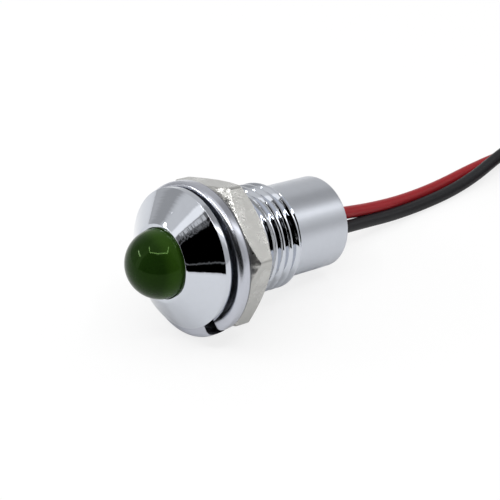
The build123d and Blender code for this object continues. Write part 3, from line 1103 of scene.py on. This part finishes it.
@dataclass
class Studio:
    """Floor, surroundings, tube lights and camera.

    The floor's white and shine are the shares of plain white in what the camera and the metal see.
    """

    sky: float = 0.70
    floor_half: float = 2.0
    floor_white: float = 0.80
    floor_shine: float = 0.10
    light_away: float = 0.4
    target: tuple[float, float, float] = (0.162, 1.575, 3.989)
    azimuth: float = 48.77
    elevation: float = 35.67
    distance: float = 100.0
    view_angle: float = 20.774
    sensor_mm: float = 36.0
    clip: tuple[float, float] = (0.005, 10.0)
    patches: tuple[Patch, ...] = (
        Patch((-180, 180), (62, 92), 1.18, 14.0),
        Patch((-180, -156), (-6, 60), 0.62, 12.0),
        Patch((-166, -149), (-6, 34), 0.47, 8.0),
        Patch((-148, -122), (20, 52), 0.85, 12.0),
        Patch((-123.5, -109), (-4, 56), 1.34, 5.0),
        Patch((-109, -99), (-4, 60), 0.20, 3.0),
        Patch((-108, -99), (41.0, 43.4), 0.80, 1.6),
        Patch((-99.5, -93), (-4, 60), 0.02, 3.0),
        Patch((-99.5, -93), (39.4, 41.2), 0.25, 1.4),
        Patch((-93, 31), (-8, 61), 0.0, 2.0),
        Patch((-82, -48), (9.5, 11.0), 0.22, 1.5),
        Patch((24, 54), (-8, 45), 0.60, 8.0),
        Patch((50, 73), (13, 45), 1.05, 6.0),
        Patch((59, 68), (23, 41), 2.70, 3.0),
        Patch((76, 110), (10, 50), 0.42, 8.0),
    )
    strips: tuple[Strip, ...] = (
        Strip((-102, 57), (-50, 65.5), 2.8, 18.0),
        Strip((-50, 65.5), (11, 60), 2.8, 18.0),
        Strip((-102, 57), (-141, 60), 2.2, 18.0),
        Strip((11, 60), (58, 66), 2.2, 18.0),
        Strip((-144.5, 28.0), (-121.5, 28.5), 3.2, 18.0),
    )

    def world(self) -> None:
        """Paint the surroundings: a dark side towards the viewer among pale walls."""
        world = bpy.data.worlds.new("surroundings")
        world.use_nodes = True
        bpy.context.scene.world = world
        nodes = Nodes(world.node_tree)
        way = nodes.add("ShaderNodeSeparateXYZ", {}, {
            0: nodes.term("ShaderNodeTexCoord", {}, {}, "Generated")})
        x, y, z = (Term(nodes, way.outputs[i]) for i in range(3))
        bearing = y.maths("ARCTAN2", x) * math.degrees(1)
        height = z.maths("ARCSINE") * math.degrees(1)
        level: Term | float = self.sky
        for patch in self.patches:
            middle = sum(patch.bearing) / 2
            half = (patch.bearing[1] - patch.bearing[0]) / 2
            off = (bearing - middle).maths("WRAP", 180.0, -180.0).maths("ABSOLUTE")
            rise = (height - sum(patch.height) / 2).maths("ABSOLUTE")
            half_rise = (patch.height[1] - patch.height[0]) / 2
            soft = patch.soft / 2
            mask = rise.step(half_rise + soft, half_rise - soft)
            if half < 180:
                mask = mask * off.step(half + soft, half - soft)
            level = mask * (patch.level - level) + level
        seen = nodes.term("ShaderNodeLightPath", {}, {}, "Is Camera Ray")
        strength = level + seen * (1.0 - level)
        back = nodes.add("ShaderNodeBackground", {}, {"Color": WHITE, "Strength": strength})
        output = nodes.add("ShaderNodeOutputWorld")
        world.node_tree.links.new(back.outputs[0], output.inputs["Surface"])

    def lights(self) -> None:
        """Hang the tube lights."""
        centre = Vector(self.target) * MM
        for number, strip in enumerate(self.strips, 1):
            ends = [direction(*end) * self.light_away for end in (strip.start, strip.stop)]
            middle = (ends[0] + ends[1]) / 2
            along = (ends[1] - ends[0]).normalized()
            back = middle.normalized()
            side = back.cross(along).normalized()
            back = along.cross(side)
            lamp = bpy.data.lights.new(f"tube_light_{number}", "AREA")
            lamp.shape = "RECTANGLE"
            lamp.size = (ends[1] - ends[0]).length
            lamp.size_y = math.radians(strip.width) * self.light_away
            lamp.energy = strip.radiance * lamp.size * lamp.size_y * math.pi
            light = bpy.data.objects.new(lamp.name, lamp)
            light.matrix_world = Matrix.Translation(centre + middle) @ Matrix(
                (along, side, back)).transposed().to_4x4()
            light.visible_camera = False
            bpy.context.scene.collection.objects.link(light)

    def floor(self) -> None:
        """Lay the pale floor, near white to the eye, with the object's own shadow."""
        bm = bmesh.new()
        bmesh.ops.create_grid(bm, x_segments=1, y_segments=1, size=self.floor_half)
        mesh = bpy.data.meshes.new("floor")
        bm.to_mesh(mesh)
        bm.free()
        floor = bpy.data.objects.new("floor", mesh)
        bpy.context.scene.collection.objects.link(floor)
        material = bpy.data.materials.new("pale_floor")
        material.use_nodes = True
        nodes = Nodes(material.node_tree)
        ray = nodes.add("ShaderNodeLightPath")
        seen = Term(nodes, ray.outputs["Is Camera Ray"])
        mirrored = Term(nodes, ray.outputs["Is Glossy Ray"])
        matt = nodes.add("ShaderNodeBsdfDiffuse", {}, {"Color": WHITE})
        white = nodes.add("ShaderNodeEmission", {}, {"Color": WHITE, "Strength": 1.0})
        blend = nodes.add("ShaderNodeMixShader", {}, {
            0: seen * self.floor_white + mirrored * self.floor_shine,
            1: Term(nodes, matt.outputs[0]), 2: Term(nodes, white.outputs[0])})
        output = nodes.add("ShaderNodeOutputMaterial")
        material.node_tree.links.new(blend.outputs[0], output.inputs["Surface"])
        mesh.materials.append(material)

    def camera(self) -> None:
        """Set the camera up."""
        a, e = math.radians(self.azimuth), math.radians(self.elevation)
        back = Vector((math.sin(a) * math.cos(e), -math.cos(a) * math.cos(e), math.sin(e)))
        data = bpy.data.cameras.new("camera")
        data.sensor_width = self.sensor_mm
        data.angle = math.radians(self.view_angle)
        data.clip_start, data.clip_end = self.clip
        camera = bpy.data.objects.new("camera", data)
        camera.location = (Vector(self.target) + back * self.distance) * MM
        camera.rotation_mode = "QUATERNION"
        camera.rotation_quaternion = (-back).to_track_quat("-Z", "Y")
        bpy.context.scene.collection.objects.link(camera)
        bpy.context.scene.camera = camera


# ---------------------------------------------------------------------------- the part


INNER_FINISHES: dict[str, Finish] = {
    "led_cathode_frame": STRIP, "led_anode_frame": STRIP, "led_chip": CHIP, "led_bond_wire": GOLD,
    "resistor_body": RESISTOR, "resistor_leg_front": CORE, "resistor_leg_rear": CORE,
    "anode_solder": SOLDER, "red_solder": SOLDER, "black_solder": SOLDER, "red_core": CORE,
    "black_core": CORE, "red_sleeve": SLEEVE, "black_sleeve": SLEEVE, "potting": POTTING,
    "coil_tie": TIE, "red_tip": CORE, "black_tip": CORE,
}


def keep_solids() -> None:
    """Give the solids that stay their finishes."""
    for name, finish in INNER_FINISHES.items():
        node = frame["nodes"][name]
        node.data.materials.clear()
        node.data.materials.append(finish.material())
        log.info("finished %s", name)


def leads() -> tuple[Lead, Lead]:
    """The two leads, with the points of their routes given one by one."""
    spot = LIE.spot
    red = Lead("red_lead_wire", RED_PVC, [
        spot(14.0, 0.02, 0.580), spot(20.6, 0.0, -0.35), Vector((0.0, 20.9, 0.5)) * MM,
        Vector((0.05, 28.2, 0.5)) * MM, Vector((1.2, 33.8, 0.74)) * MM,
    ], spot(15.19, 0.017, 0.466), 0.74, ("red_lead", "red_coil"))
    black = Lead("black_lead_wire", BLACK_PVC, [
        spot(8.9, 0.58, -0.82), spot(19.0, 0.60, -0.85), Vector((0.75, 17.6, 0.5)) * MM,
        Vector((1.34, 24.2, 0.5)) * MM, Vector((1.12, 30.0, 1.82)) * MM,
        Vector((1.2, 33.8, 1.78)) * MM,
    ], spot(15.19, 0.592, -0.839), 1.78, ("black_lead", "black_coil"))
    return red, black


def main() -> None:
    """Build the studio and every piece."""
    bpy.context.scene.view_settings.view_transform = "Standard"
    studio = Studio()
    studio.camera()
    red, black = leads()
    red_piece, black_piece = red.build(), black.build()
    red.declare(red_piece, [frame["nodes"]["coil_tie"], frame["nodes"]["red_tip"]])
    black.declare(black_piece, [frame["nodes"]["black_tip"]])
    for part in (TurnedBody(), SpringWasher(), HexNut(), Lamp()):
        part.build()
    keep_solids()
    studio.world()
    studio.lights()
    studio.floor()


if __name__ == "__main__":
    logging.basicConfig(level=logging.INFO)
    main()
